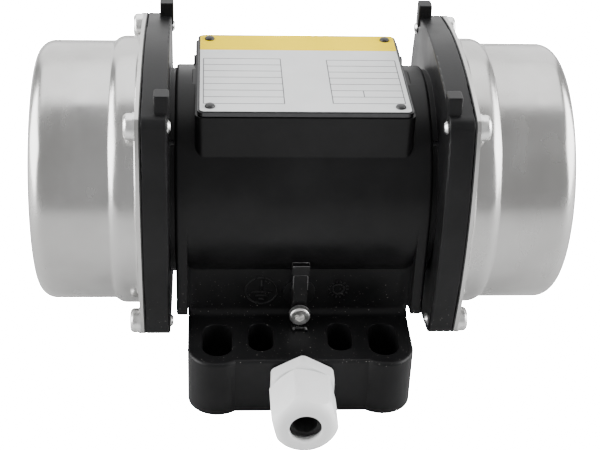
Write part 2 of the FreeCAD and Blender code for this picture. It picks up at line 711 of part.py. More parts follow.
def make_cap(side, turn):
    """A drawn cup with a flange plate, a stepped skirt and a rounded end."""
    body = new_body(side + "_cap")
    pad(body, "plate", "YZ_Plane", [bulged_square()], CAP_PLATE_INNER, "cap_plate")
    round_corners(body, "plate_corners", value(CAP_PLATE_INNER), value(CAP_PLATE_OUTER))
    skirt = "(cap_radius + cap_step)"
    bend = "((cap_step_length^2 + cap_step^2) / (2 * cap_step))"
    bend_centre = "(%s - %s)" % (skirt, bend)
    bend_inside = "(%s - cap_wall)" % bend
    run_inside = "sqrt(%s^2 - (%s - cap_step)^2)" % (bend_inside, bend_inside)
    step_end = "(%s + cap_step_length)" % CAP_STEP_START
    revolve(body, "cup", [
        (CAP_PLATE_INNER, skirt), (CAP_STEP_START, skirt, CAP_STEP_START, bend_centre, -1),
        (step_end, "cap_radius"), (CAP_END, "cap_radius"), (CAP_END, "0"), (CAP_PLATE_INNER, "0"),
    ])
    revolve(body, "cup_inside", [
        (CAP_PLATE_INNER, "0"), (CAP_PLATE_INNER, skirt + " - cap_wall"),
        (CAP_STEP_START, skirt + " - cap_wall", CAP_STEP_START, bend_centre, -1),
        (CAP_STEP_START + " + " + run_inside, "cap_radius - cap_wall"),
        (CAP_INSIDE_END, "cap_radius - cap_wall"), (CAP_INSIDE_END, "0"),
    ], cut=True)
    end, wall, radius = value(CAP_END), value("cap_wall"), value("cap_radius")
    dress(body, "Fillet", "end_round", "cap_end_radius", lambda edge: is_circle_at(edge, end, radius))
    dress(body, "Fillet", "end_round_inside", "cap_end_radius - cap_wall",
          lambda edge: is_circle_at(edge, end - wall, radius - wall))
    last = value(step_end)
    dress(body, "Fillet", "step_round", "cap_wall", lambda edge: is_circle_at(edge, last, radius))
    outer, step = value(CAP_PLATE_OUTER), value(skirt)
    dress(body, "Fillet", "plate_root", "cap_wall", lambda edge: is_circle_at(edge, outer, step))
    pocket(body, "screw_holes", "YZ_Plane",
           circles(four_corners(CAP_SCREW), "m5_radius + screw_clearance"),
           CAP_PLATE_OUTER, "cap_plate")
    stand(body, turn)


def make_cap_gasket(side, turn):
    body = new_body(side + "_cap_gasket")
    loops = [bulged_square(), ("circle", "0", "0", "cap_radius + cap_step - cap_wall")]
    loops += circles(four_corners(CAP_SCREW), "m5_radius + screw_clearance")
    pad(body, "ring", "YZ_Plane", loops, FLANGE_OUTER, "cap_gasket")
    round_corners(body, "ring_corners", value(FLANGE_OUTER), value(CAP_PLATE_INNER))
    stand(body, turn)


def make_side_screws(side, turn):
    corners = four_corners(CAP_SCREW)
    washer_top = CAP_PLATE_OUTER + " + washer_thickness"
    stand(make_washers(side + "_cap_washers", "YZ_Plane", corners, CAP_PLATE_OUTER,
                       "m5_radius + screw_clearance", "m5_washer_radius"), turn)
    reach = "washer_thickness + cap_plate + cap_gasket + flange_thickness + casting_edge"
    m5_head = ("m5_head_radius", "m5_head_height")
    stand(make_screws(side + "_cap_screws", "YZ_Plane", corners, washer_top, m5_head,
                      "m5_head_height / 2", ("m5_radius", "(%s)" % reach), "m5_recess_radius"), turn)
    centres = four_corners(SHIELD_SCREW)
    reach = "flange_thickness - m5_head_height + shield_gap + shield_screw_depth - casting_edge"
    stand(make_screws(side + "_shield_screws", "YZ_Plane", centres, FLANGE_OUTER + " - m5_head_height",
                      m5_head, "m5_head_height / 2", ("m5_radius", "(%s)" % reach)), turn)


# ---------------------------------------------------------------- compartment pieces

def make_compartment_pieces():
    half_x, half_y = COVER_X, COVER_Y
    gasket = new_body("cover_gasket")
    hole_radius = "m4_radius + screw_clearance"
    pad(gasket, "sheet", "XY_Plane",
        [rounded_rectangle("(%s - plate_margin)" % half_x, "(%s - plate_margin)" % half_y, "cover_corner"),
         rounded_rectangle("(box_half_length - box_wall)", "(box_half_width - box_wall)", "box_corner")],
        SEAT, "cover_gasket")
    pad(gasket, "corner_pads", "XY_Plane", circles(cover_screw_places(), "cover_boss_radius"),
        SEAT, "cover_gasket")
    pocket(gasket, "screw_holes", "XY_Plane", circles(cover_screw_places(), hole_radius),
           COVER_BOTTOM, "cover_gasket")
    cover = new_body("terminal_cover")
    pad(cover, "sheet", "XY_Plane", [rounded_rectangle(half_x, half_y, "cover_corner")],
        COVER_BOTTOM, "cover_thickness")
    pocket(cover, "screw_holes", "XY_Plane", circles(cover_screw_places(), hole_radius),
           COVER_TOP, "cover_thickness")
    make_screws("cover_screws", "XY_Plane", cover_screw_places(), COVER_TOP,
                ("m4_head_radius", "m4_head_height"), "m4_head_height / 2",
                ("m4_radius", "(cover_thickness + cover_gasket + m4_head_radius)"), "m4_recess_radius")
    plate = new_body("nameplate")
    pad(plate, "foil", "XY_Plane",
        [rounded_rectangle("(%s - plate_margin)" % half_x, "(%s - plate_margin)" % half_y,
                           "(cover_corner - plate_margin)")],
        COVER_TOP, "plate_thickness")
    pocket(plate, "screw_notches", "XY_Plane",
           circles(cover_screw_places(), "m4_head_radius + screw_clearance"),
           COVER_TOP + " + plate_thickness", "plate_thickness")
    make_terminal_strip()


def make_terminal_strip():
    """A low moulded block with three posts, on the barrel at the front of the compartment."""
    strip = new_body("terminal_block")
    low_y, high_y = "(-%s - strip_width / 2)" % STRIP_Y, "(-%s + strip_width / 2)" % STRIP_Y
    foot = "bore_radius + compartment_skin"
    rest = "(axis_height + sqrt((%s)^2 - (%s - strip_width / 2)^2))" % (foot, STRIP_Y)
    pad(strip, "block", "XY_Plane",
        [rectangle("-strip_length / 2", low_y, "strip_length / 2", high_y)],
        rest, "strip_height - m4_radius")
    posts = [("%d * post_pitch" % i, "-" + STRIP_Y) for i in (-2, 0, 2)]
    screws = new_body("terminal_screws")
    pad(screws, "heads", "XY_Plane", circles(posts, "m4_head_radius - screw_clearance"),
        rest + " + strip_height - m4_radius", "m4_radius / 2")


def make_earth_terminal():
    """Outside earth screw with its washer and a saddle clamp with two prongs, at the front."""
    place = (-90, "0", "-" + EARTH_Y, EARTH_Z)
    clamp = new_body("earth_clamp")
    hole = ("circle", "0", "0", "m5_radius + screw_clearance")
    half = "saddle_half_width"
    low = "(screw_clearance - %s + foot_thickness)" % EARTH_Z
    pad(clamp, "plate", "YZ_Plane",
        [rounded_rectangle(half, "(-%s / 2 + %s / 2)" % (low, half), "prong_width", "0",
                           "(%s / 2 + %s / 2)" % (low, half)), hole],
        "0", "washer_thickness")
    inner = "(%s - prong_width)" % half
    thick = "(%s + washer_thickness)" % low
    pad(clamp, "saddle", "YZ_Plane", [rectangle("-" + half, low, half, thick)], "0", "saddle_reach")
    high = "(%s + prong_height)" % low
    pad(clamp, "prongs", "YZ_Plane",
        [rectangle("-" + half, low, "-" + inner, high), rectangle(inner, low, half, high)],
        "saddle_reach - prong_width / 2", "prong_reach - saddle_reach + prong_width / 2")
    stand(clamp, *place)
    stand(make_washers("earth_washer", "YZ_Plane", [("0", "0")], "washer_thickness",
                       "m5_radius + screw_clearance", "earth_head_radius + screw_clearance / 2"), *place)
    shank = "(2 * washer_thickness + shield_screw_depth - casting_edge)"
    stand(make_screws("earth_screw", "YZ_Plane", [("0", "0")], "(2 * washer_thickness)",
                      ("earth_head_radius", "earth_head_height"), "earth_head_height / 3",
                      ("m5_radius", shank), "m5_recess_radius"), *place)


# ---------------------------------------------------------------- cable gland

def make_gland():
    """M20 cable gland: hexagon body, sealing ring, rubber insert and dome nut, along the body's X."""
    gasket_end = "gland_gasket"
    hex_end = "(gland_gasket + gland_hex_length)"
    spigot_end = "(%s + gland_spigot_length)" % hex_end
    dome_start = "(%s + gland_neck_gap)" % hex_end
    dome_end = "(%s + dome_length)" % dome_start
    seal_start = "(%s + gland_wall)" % hex_end
    seal_end = "(%s + seal_length)" % seal_start
    place = (-90, "0", "-foot_half_width", "gland_height")

    ring = new_body("gland_gasket")
    pad(ring, "ring", "YZ_Plane",
        circles([("0", "0")], "gland_hex_radius * cos(30) - screw_clearance")
        + circles([("0", "0")], "gland_thread_radius"),
        "0", "gland_gasket")
    stand(ring, *place)

    body = new_body("gland_body")
    pad(body, "hexagon", "YZ_Plane", [hexagon("gland_hex_radius")], gasket_end, "gland_hex_length")
    dress(body, "Fillet", "hexagon_corners", "gland_hex_corner", lambda edge: is_line_along(edge, "X"))
    chamfer_hexagon(body, "hexagon_chamfer", "gland_hex_radius", hex_end, "-")
    revolve(body, "thread_and_spigot", [
        ("-gland_thread_length", "0"), ("-gland_thread_length", "gland_thread_radius"),
        (spigot_end, "gland_thread_radius"), (spigot_end, "0"),
    ])
    revolve(body, "through_bore", [
        ("-gland_thread_length", "0"), ("-gland_thread_length", "gland_bore"), (seal_start, "gland_bore"),
        (seal_start, "gland_seat_bore"), (spigot_end, "gland_seat_bore"), (spigot_end, "0"),
    ], cut=True)
    stand(body, *place)

    seal = new_body("gland_seal")
    revolve(seal, "sleeve", [
        (seal_start, "seal_radius_inside"), (seal_end, "seal_radius_inside"),
        (seal_end, "seal_nose_radius"), (spigot_end, "gland_seat_bore"), (seal_start, "gland_seat_bore"),
    ])
    stand(seal, *place)

    nut = new_body("gland_dome_nut")
    pad(nut, "hexagon", "YZ_Plane", [hexagon("dome_hex_radius", "dome_turn")], dome_start, "dome_length")
    dress(nut, "Fillet", "hexagon_corners", "dome_hex_corner", lambda edge: is_line_along(edge, "X"))
    chamfer_hexagon(nut, "back_chamfer", "dome_hex_radius", dome_start, "+")
    shoulder = "(%s - dome_round)" % dome_end
    tall = "(dome_hex_radius + casting_edge)"
    revolve(nut, "dome", [
        (shoulder, "dome_front_radius + dome_round"), (shoulder, tall), (dome_end, tall),
        (dome_end, "dome_front_radius", shoulder, "dome_front_radius", 1),
    ], cut=True)
    thread = "gland_thread_radius + running_fit"
    lip = "(%s - dome_lip_round)" % dome_end
    revolve(nut, "inside", [
        (dome_start, "0"), (dome_start, thread), (spigot_end + " + running_fit", thread),
        (dome_end + " - dome_lip", "dome_opening"),
        (lip, "dome_opening", lip, "dome_opening + dome_lip_round", 1),
        (dome_end, "dome_opening + dome_lip_round"), (dome_end, "0"),
    ], cut=True)
    stand(nut, *place)


def chamfer_hexagon(body, name, radius, end, inwards):
    """The turned 30 degree chamfer that takes the corners off a hexagon's end face."""
    flat = "(%s * cos(30))" % radius
    tall = "(%s + casting_edge)" % radius
    back = "%s %s (%s - %s) * tan(30)" % (end, inwards, tall, flat)
    revolve(body, name, [(end, flat), (end, tall), (back, tall)], cut=True)


# ---------------------------------------------------------------- stator, rotor and bearings

def make_stator():
    core = new_body("stator_core")
    revolve(core, "stack", [
        ("-core_half_length", "rotor_radius + air_gap"), ("core_half_length", "rotor_radius + air_gap"),
        ("core_half_length", "bore_radius"), ("-core_half_length", "bore_radius"),
    ])
    slot = pocket(core, "slot", "YZ_Plane", [("circle", "0", "slot_circle", "slot_radius")],
                  "core_half_length", "2 * core_half_length")
    polar(core, "slots", slot, STATOR_SLOTS)
    stand(core, 0)
    coils = new_body("stator_windings")
    ring = [("circle", "0", "0", "end_turn_outer"), ("circle", "0", "0", "end_turn_inner")]
    pad(coils, "left_end_turns", "YZ_Plane", ring, "-core_half_length - end_turn_length", "end_turn_length")
    pad(coils, "right_end_turns", "YZ_Plane", ring, "core_half_length", "end_turn_length")
    far = value("core_half_length + end_turn_length")
    dress(coils, "Fillet", "end_turn_round", "end_turn_length / 4", lambda edge: (
        isinstance(edge.Curve, Part.Circle) and abs(abs(middle(edge).x) - far) < 0.01))
    bar = pad(coils, "coil_side", "YZ_Plane", [("circle", "0", "slot_circle", "coil_radius")],
              "-core_half_length - end_turn_length / 2", "2 * core_half_length + end_turn_length")
    polar(coils, "coil_sides", bar, STATOR_SLOTS)
    stand(coils, 0)


def make_shaft():
    shaft = new_body("shaft")
    groove = STOP_WASHER_END
    half = [
        (BEARING_START, "shaft_middle_radius"), (BEARING_START, "bearing_bore"),
        (FIXED_WEIGHT_START, "bearing_bore"), (FIXED_WEIGHT_START, "shaft_end_radius"),
        (groove, "shaft_end_radius"), (groove, "shaft_end_radius - circlip_depth"),
        (SHAFT_CLIP_END, "shaft_end_radius - circlip_depth"), (SHAFT_CLIP_END, "shaft_end_radius"),
        (SHAFT_END + " - circlip_depth", "shaft_end_radius"),
        (SHAFT_END, "shaft_end_radius - circlip_depth"),
    ]
    profile = half + [(SHAFT_END, "0"), ("-" + SHAFT_END, "0")]
    profile += [("-(%s)" % x, r) for x, r in reversed(half)]
    revolve(shaft, "turned", profile)
    keyway = rectangle("-key_width / 2", "shaft_end_radius - key_height / 2",
                       "key_width / 2", "shaft_end_radius + casting_edge")
    pocket(shaft, "right_keyway", "YZ_Plane", [keyway], FIXED_WEIGHT_END, "weight_thickness")
    pocket(shaft, "left_keyway", "YZ_Plane", [keyway], "-" + FIXED_WEIGHT_END, "weight_thickness", True)
    stand(shaft, 0)


def make_rotor():
    core = new_body("rotor_core")
    revolve(core, "stack", [
        ("-core_half_length", "shaft_middle_radius"), ("core_half_length", "shaft_middle_radius"),
        ("core_half_length", "rotor_radius"), ("-core_half_length", "rotor_radius"),
    ])
    stand(core, 0)
    rings = new_body("rotor_end_rings")
    wall = "rotor_radius - casting_edge"
    ring = [("circle", "0", "0", wall), ("circle", "0", "0", wall + " - end_ring_wall")]
    pad(rings, "right_ring", "YZ_Plane", ring, "core_half_length", "end_ring_length")
    pad(rings, "left_ring", "YZ_Plane", ring, "-core_half_length - end_ring_length", "end_ring_length")
    stand(rings, 0)


def ring_profile(race_radius, back_radius):
    """Half section of a bearing ring with its ball groove."""
    groove = "(ball_radius + race_clearance)"
    reach = "sqrt(%s^2 - race_shoulder^2)" % groove
    mid = BEARING_MIDDLE
    turn = -1 if value(race_radius) > value("bearing_pitch") else 1
    return [
        (BEARING_START, race_radius), ("%s - %s" % (mid, reach), race_radius, mid, "bearing_pitch", turn),
        ("%s + %s" % (mid, reach), race_radius), (BEARING_END, race_radius),
        (BEARING_END, back_radius), (BEARING_START, back_radius),
    ]


def make_bearing(side, turn):
    outer = new_body(side + "_bearing_outer_ring")
    revolve(outer, "ring", ring_profile("(bearing_pitch + race_shoulder)", "bearing_radius"))
    stand(outer, turn)
    inner = new_body(side + "_bearing_inner_ring")
    revolve(inner, "ring", ring_profile("(bearing_pitch - race_shoulder)", "bearing_bore"))
    stand(inner, turn)

    balls = new_body(side + "_bearing_balls")
    ball = add_sphere(balls, "PartDesign::AdditiveSphere", "ball", "ball_radius")
    polar(balls, "all_balls", ball, BALLS)
    stand(balls, turn)
    cage = new_body(side + "_bearing_cage")
    thick = "cage_half_thickness"
    revolve(cage, "band", [
        ("%s - cage_width / 2" % BEARING_MIDDLE, "bearing_pitch - " + thick),
        ("%s + cage_width / 2" % BEARING_MIDDLE, "bearing_pitch - " + thick),
        ("%s + cage_width / 2" % BEARING_MIDDLE, "bearing_pitch + " + thick),
        ("%s - cage_width / 2" % BEARING_MIDDLE, "bearing_pitch + " + thick),
    ])
    hole = add_sphere(cage, "PartDesign::SubtractiveSphere", "window", "ball_radius + cage_clearance")
    polar(cage, "windows", hole, BALLS)
    stand(cage, turn)

    clip = new_body(side + "_bearing_clip")
    open_ring(clip, "%s - circlip_thickness" % BEARING_START, "bearing_radius + circlip_depth",
              "bearing_radius - 3 * circlip_depth")
    stand(clip, turn)


def add_sphere(body, kind, name, radius):
    sphere = body.newObject(kind, name)
    bind(sphere, "Radius", radius)
    sphere.Placement = FreeCAD.Placement(
        FreeCAD.Vector(value(BEARING_MIDDLE), 0, value("bearing_pitch")), FreeCAD.Rotation())
    bind(sphere, "Placement.Base.x", BEARING_MIDDLE)
    bind(sphere, "Placement.Base.z", "bearing_pitch")
    document.recompute()
    return sphere


def open_ring(body, start, outer, inner):
    """A snap ring with a gap at the top."""
    pad(body, "ring", "YZ_Plane", circles([("0", "0")], outer) + circles([("0", "0")], inner),
        start, "circlip_thickness")
    gap = rectangle("-key_width / 2", "0", "key_width / 2", outer + " + casting_edge")
    pocket(body, "gap", "YZ_Plane", [gap], start + " + circlip_thickness", "circlip_thickness")


# ---------------------------------------------------------------- eccentric weights

def sector_outline():
    """A hub with a heavy sector below it."""
    outer = WEIGHT_RADIUS
    inner = "weight_hub_radius"
    right = "(weight_half_angle - 90)"
    left = "(270 - weight_half_angle)"
    return [
        ("%s * cos%s" % (outer, left), "%s * sin%s" % (outer, left), "0", "0", 1),
        ("%s * cos%s" % (outer, right), "%s * sin%s" % (outer, right)),
        ("%s * cos%s" % (inner, right), "%s * sin%s" % (inner, right), "0", "0", 1),
        ("%s * cos%s" % (inner, left), "%s * sin%s" % (inner, left)),
    ]


def make_weights(side, turn):
    fixed = new_body(side + "_fixed_weight")
    pad(fixed, "sector", "YZ_Plane", [sector_outline(), ("circle", "0", "0", "shaft_end_radius")],
        FIXED_WEIGHT_START, "weight_thickness")
    keyway = rectangle("-key_width / 2", "0", "key_width / 2", "shaft_end_radius + key_height / 2")
    pocket(fixed, "keyway", "YZ_Plane", [keyway], FIXED_WEIGHT_END, "weight_thickness")
    stand(fixed, turn)

    key = new_body(side + "_weight_key")
    pad(key, "bar", "YZ_Plane",
        [rectangle("-key_width / 2", "shaft_end_radius - key_height / 2",
                   "key_width / 2", "shaft_end_radius + key_height / 2")],
        FIXED_WEIGHT_START, "weight_thickness")
    stand(key, turn)

    loose = new_body(side + "_adjustable_weight")
    pad(loose, "sector", "YZ_Plane",
        [sector_outline(), ("circle", "0", "0", "shaft_end_radius + running_fit")],
        LOOSE_WEIGHT_START, "weight_thickness")
    slit = rectangle("-clamp_slit / 2", "0", "clamp_slit / 2", "weight_hub_radius + casting_edge")
    pocket(loose, "slit", "YZ_Plane", [slit], LOOSE_WEIGHT_END, "weight_thickness")
    middle_x = "(%s + weight_thickness / 2)" % LOOSE_WEIGHT_START
    pocket(loose, "clamp_hole", "XZ_Plane", [("circle", middle_x, "clamp_height", "clamp_radius")],
           "weight_hub_radius", "2 * weight_hub_radius")
    reach = "sqrt(weight_hub_radius^2 - (clamp_height - clamp_radius)^2)"
    pocket(loose, "clamp_seat", "XZ_Plane",
           [("circle", middle_x, "clamp_height", "clamp_head_radius + screw_clearance")],
           "weight_hub_radius + casting_edge", "weight_hub_radius + casting_edge - " + reach)
    stand(loose, turn)
    clamp = new_body(side + "_clamp_screw")
    pad(clamp, "shank", "XZ_Plane", [("circle", middle_x, "clamp_height", "clamp_radius")],
        "-" + reach, "2 * " + reach)
    pad(clamp, "head", "XZ_Plane", [("circle", middle_x, "clamp_height", "clamp_head_radius")],
        reach, "clamp_radius * 2")
    stand(clamp, turn)

    spacer = new_body(side + "_spacer")
    pad(spacer, "tube", "YZ_Plane",
        circles([("0", "0")], "spacer_radius") + circles([("0", "0")], "bearing_bore"),
        BEARING_END, FIXED_WEIGHT_START + " - " + BEARING_END)
    stand(spacer, turn)
    washers = new_body(side + "_weight_washers")
    ring = circles([("0", "0")], "weight_washer_radius") + circles([("0", "0")], "shaft_end_radius")
    pad(washers, "between", "YZ_Plane", ring, FIXED_WEIGHT_END, "weight_washer")
    pad(washers, "outside", "YZ_Plane", ring, STOP_WASHER_START, "weight_washer")
    stand(washers, turn)
    clip = new_body(side + "_shaft_clip")
    open_ring(clip, STOP_WASHER_END, "shaft_end_radius + 3 * circlip_depth",
              "shaft_end_radius - circlip_depth")
    stand(clip, turn)


make_housing()
for side, turn in (("left", 180), ("right", 0)):
    make_end_shield(side, turn)
    make_cap(side, turn)
    make_cap_gasket(side, turn)
    make_side_screws(side, turn)
    make_bearing(side, turn)
    make_weights(side, turn)
make_compartment_pieces()
make_earth_terminal()
make_gland()
make_stator()
make_shaft()
make_rotor()

document.recompute()
for thing in document.Objects:
    if "Invalid" in thing.State or "Error" in thing.State:
        raise RuntimeError("%s failed" % thing.Label)
for part in parts:
    if part.Shape.isNull() or not part.Shape.isValid():
        raise RuntimeError("%s has no valid shape" % part.Label)
os.makedirs("parts", exist_ok=True)
for part in parts:
    part.Shape.exportStep("parts/%s.step" % part.Label)
print("%d sub-parts written" % len(parts))
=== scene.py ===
import bpy
import bmesh
import json
import math
from mathutils import Matrix, Vector


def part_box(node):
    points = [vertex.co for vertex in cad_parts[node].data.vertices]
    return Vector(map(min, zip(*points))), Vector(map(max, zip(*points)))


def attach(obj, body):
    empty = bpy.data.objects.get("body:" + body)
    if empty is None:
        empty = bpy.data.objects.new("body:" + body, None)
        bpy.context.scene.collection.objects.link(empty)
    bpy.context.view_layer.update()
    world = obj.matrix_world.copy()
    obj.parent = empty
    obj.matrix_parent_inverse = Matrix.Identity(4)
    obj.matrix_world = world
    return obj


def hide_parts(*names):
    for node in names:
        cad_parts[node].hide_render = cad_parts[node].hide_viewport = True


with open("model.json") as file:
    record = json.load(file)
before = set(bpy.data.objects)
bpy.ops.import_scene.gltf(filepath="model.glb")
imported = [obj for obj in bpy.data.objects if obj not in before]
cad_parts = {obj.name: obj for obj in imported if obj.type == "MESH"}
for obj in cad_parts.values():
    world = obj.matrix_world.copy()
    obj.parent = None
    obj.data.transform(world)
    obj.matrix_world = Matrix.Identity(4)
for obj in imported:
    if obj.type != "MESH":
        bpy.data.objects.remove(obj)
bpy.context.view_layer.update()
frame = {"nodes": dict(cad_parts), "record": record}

MM = 0.001


# ---------------------------------------------------------------- camera, floor and light

def make_camera():
    """A long lens that looks down from a little left of the motor's middle, with a slight roll."""
    place = (-0.03741, -0.49214, 0.36437)
    yaw, pitch, roll = 0.080, 0.572, 0.043
    forward = Vector((math.sin(yaw) * math.cos(pitch), math.cos(yaw) * math.cos(pitch), -math.sin(pitch)))
    level = Vector((math.cos(yaw), -math.sin(yaw), 0))
    upright = level.cross(forward)
    right = math.cos(roll) * level + math.sin(roll) * upright
    up = -math.sin(roll) * level + math.cos(roll) * upright
    data = bpy.data.cameras.new("camera")
    data.sensor_width = 36
    data.lens = 82.35
    data.clip_start = 0.01
    camera = bpy.data.objects.new("camera", data)
    turn = Matrix((right, up, -forward)).transposed()
    camera.matrix_world = Matrix.Translation(place) @ turn.to_4x4()
    bpy.context.collection.objects.link(camera)
    bpy.context.scene.camera = camera


def area_light(name, place, size, power):
    """A rectangular white light that faces the middle of the motor."""
    target = Vector((0, 0, 0.07))
    data = bpy.data.lights.new(name, "AREA")
    data.shape = "RECTANGLE"
    data.size, data.size_y = size
    data.energy = power
    light = bpy.data.objects.new(name, data)
    light.location = place
    light.rotation_euler = (target - Vector(place)).to_track_quat("-Z", "Y").to_euler()
    bpy.context.collection.objects.link(light)


def make_light():
    """A softbox over the motor's back, lit walls at both sides and behind, in a dim room."""
    front_strength, back_strength = 0.52, 0.42
    world = bpy.data.worlds.new("studio")
    world.use_nodes = True
    tree = world.node_tree
    background = tree.nodes["Background"]
    background.inputs["Color"].default_value = (1, 1, 1, 1)
    depth = coordinate(tree, "Y", "Generated")
    strength = spread(tree, depth, front_strength, back_strength, start=-0.5, end=0.5)
    tree.links.new(strength, background.inputs["Strength"])
    bpy.context.scene.world = world
    area_light("overhead", place=(0, 0.45, 1.1), size=(1.6, 1.1), power=12.5)
    for name, side in (("left_wall", -1), ("right_wall", 1)):
        area_light(name, place=(side * 1.1, -0.05, 0.45), size=(1.2, 0.9), power=30)
    area_light("back_wall", place=(0, 1.2, 0.5), size=(1.8, 0.9), power=9)


def make_floor():
    """A table that the camera sees evenly white, and that all other light meets as plain paint."""
    half, glow_strength, glow_share = 4.0, 40.0, 0.9
    corners = [(-half, -half, 0), (half, -half, 0), (half, half, 0), (-half, half, 0)]
    mesh = bpy.data.meshes.new("floor")
    mesh.from_pydata(corners, [], [(0, 1, 2, 3)])
    floor = bpy.data.objects.new("floor", mesh)
    bpy.context.collection.objects.link(floor)
    paint, tree, shader = new_material("floor_white", (0.58, 0.58, 0.58), 0, 0.6)
    glow = tree.nodes.new("ShaderNodeEmission")
    glow.inputs["Strength"].default_value = glow_strength
    rays = tree.nodes.new("ShaderNodeLightPath")
    mix = tree.nodes.new("ShaderNodeMixShader")
    seen = spread(tree, rays.outputs["Is Camera Ray"], 0, glow_share, start=0, end=1)
    tree.links.new(seen, mix.inputs["Fac"])
    tree.links.new(shader.outputs["BSDF"], mix.inputs[1])
    tree.links.new(glow.outputs["Emission"], mix.inputs[2])
    tree.links.new(mix.outputs["Shader"], tree.nodes["Material Output"].inputs["Surface"])
    mesh.materials.append(paint)


# ---------------------------------------------------------------- nodes that the materials share

def new_material(name, colour, metallic, roughness):
    """A principled material, with its node tree and its shader."""
    material = bpy.data.materials.new(name)
    material.use_nodes = True
    tree = material.node_tree
    shader = tree.nodes["Principled BSDF"]
    shader.inputs["Base Color"].default_value = (*colour, 1)
    shader.inputs["Metallic"].default_value = metallic
    shader.inputs["Roughness"].default_value = roughness
    return material, tree, shader


def coordinate(tree, axis, space="Object"):
    """One coordinate of the shaded place, or of the direction in the world's own tree."""
    place = tree.nodes.new("ShaderNodeTexCoord")
    axes = tree.nodes.new("ShaderNodeSeparateXYZ")
    tree.links.new(place.outputs[space], axes.inputs["Vector"])
    return axes.outputs[axis]


def add_noise(tree, scale, detail=3.0, stretch=(1, 1, 1)):
    """Noise in the object's own coordinates, finer along the axes that are scaled up."""
    place = tree.nodes.new("ShaderNodeTexCoord")
    mapping = tree.nodes.new("ShaderNodeMapping")
    mapping.inputs["Scale"].default_value = stretch
    noise = tree.nodes.new("ShaderNodeTexNoise")
    noise.inputs["Scale"].default_value = scale
    noise.inputs["Detail"].default_value = detail
    tree.links.new(place.outputs["Object"], mapping.inputs["Vector"])
    tree.links.new(mapping.outputs["Vector"], noise.inputs["Vector"])
    return noise.outputs["Fac"]


def spread(tree, factor, low, high, start=0.35, end=0.65):
    """The factor's band from start to end spread over the values from low to high."""
    ramp = tree.nodes.new("ShaderNodeMapRange")
    ramp.inputs["From Min"].default_value = start
    ramp.inputs["From Max"].default_value = end
    ramp.inputs["To Min"].default_value = low
    ramp.inputs["To Max"].default_value = high
    tree.links.new(factor, ramp.inputs["Value"])
    return ramp.outputs["Result"]


def blend_colours(tree, factor, first, second):
    """Two colours mixed by a factor."""
    mix = tree.nodes.new("ShaderNodeMix")
    mix.data_type = "RGBA"
    mix.inputs["A"].default_value = (*first, 1)
    mix.inputs["B"].default_value = (*second, 1)
    tree.links.new(factor, mix.inputs["Factor"])
    return mix.outputs["Result"]


def combine(tree, operation, first, second):
    """Two values added or multiplied."""
    result = tree.nodes.new("ShaderNodeMath")
    result.operation = operation
    tree.links.new(first, result.inputs[0])
    tree.links.new(second, result.inputs[1])
    return result.outputs[0]


def add_bump(tree, shader, height, distance, strength, edge=0.0):
    """A bump from a height, over edges softened by a radius where one is given."""
    bump = tree.nodes.new("ShaderNodeBump")
    bump.inputs["Strength"].default_value = strength
    bump.inputs["Distance"].default_value = distance
    tree.links.new(height, bump.inputs["Height"])
    if edge:
        bevel = tree.nodes.new("ShaderNodeBevel")
        bevel.samples = 6
        bevel.inputs["Radius"].default_value = edge
        tree.links.new(bevel.outputs["Normal"], bump.inputs["Normal"])
    tree.links.new(bump.outputs["Normal"], shader.inputs["Normal"])


# ---------------------------------------------------------------- materials

def dust_cover(tree):
    """Fine specks of dust that start at the foot's top and thin out up the pedestal."""
    foot_top, foot_rise = 24.0 * MM, 0.4 * MM
    thinning_from, thinning_to = 30 * MM, 48 * MM
    specks = spread(tree, add_noise(tree, 1500, 1), 0, 1, start=0.735, end=0.775)
    height = coordinate(tree, "Z")
    over_foot = spread(tree, height, 0, 1, start=foot_top, end=foot_top + foot_rise)
    near_foot = spread(tree, height, 1, 0, start=thinning_from, end=thinning_to)
    return combine(tree, "MULTIPLY", specks, combine(tree, "MULTIPLY", over_foot, near_foot))


def black_coat():
    """Semi-gloss black powder coat with fine orange peel, softened edges and a little dust."""
    material, tree, shader = new_material("black_coat", (0.006, 0.006, 0.0065), 0, 0.4)
    shader.inputs["Specular IOR Level"].default_value = 0.18
    peel = add_noise(tree, 900, 2)
    patches = add_noise(tree, 45, 4)
    coat = blend_colours(tree, spread(tree, patches, 0, 1), (0.006, 0.006, 0.0064), (0.010, 0.010, 0.0105))
    dust = tree.nodes.new("ShaderNodeMix")
    dust.data_type = "RGBA"
    dust.inputs["B"].default_value = (0.30, 0.29, 0.27, 1)
    tree.links.new(dust_cover(tree), dust.inputs["Factor"])
    tree.links.new(coat, dust.inputs["A"])
    tree.links.new(dust.outputs["Result"], shader.inputs["Base Color"])
    tree.links.new(spread(tree, patches, 0.32, 0.42), shader.inputs["Roughness"])
    add_bump(tree, shader, peel, 0.06 * MM, 0.35, edge=0.5 * MM)
    return material


def drawn_steel():
    """Dull stainless sheet, its gloss broken by faint draw marks round the cup and by stains."""
    material, tree, shader = new_material("drawn_steel", (0.70, 0.69, 0.67), 1, 0.36)
    marks = add_noise(tree, 160, 4, stretch=(1, 0.15, 0.15))
    clouds = add_noise(tree, 26, 5)
    stains = add_noise(tree, 70, 5)
    darker, lighter = (0.47, 0.464, 0.452), (0.59, 0.586, 0.578)
    sheet = blend_colours(tree, spread(tree, clouds, 0, 1), darker, lighter)
    tree.links.new(sheet, shader.inputs["Base Color"])
    wear = combine(tree, "ADD", spread(tree, marks, 0.08, 0.14), spread(tree, stains, 0.09, 0.17))
    tree.links.new(wear, shader.inputs["Roughness"])
    add_bump(tree, shader, stains, 0.4 * MM, 0.12)
    return material


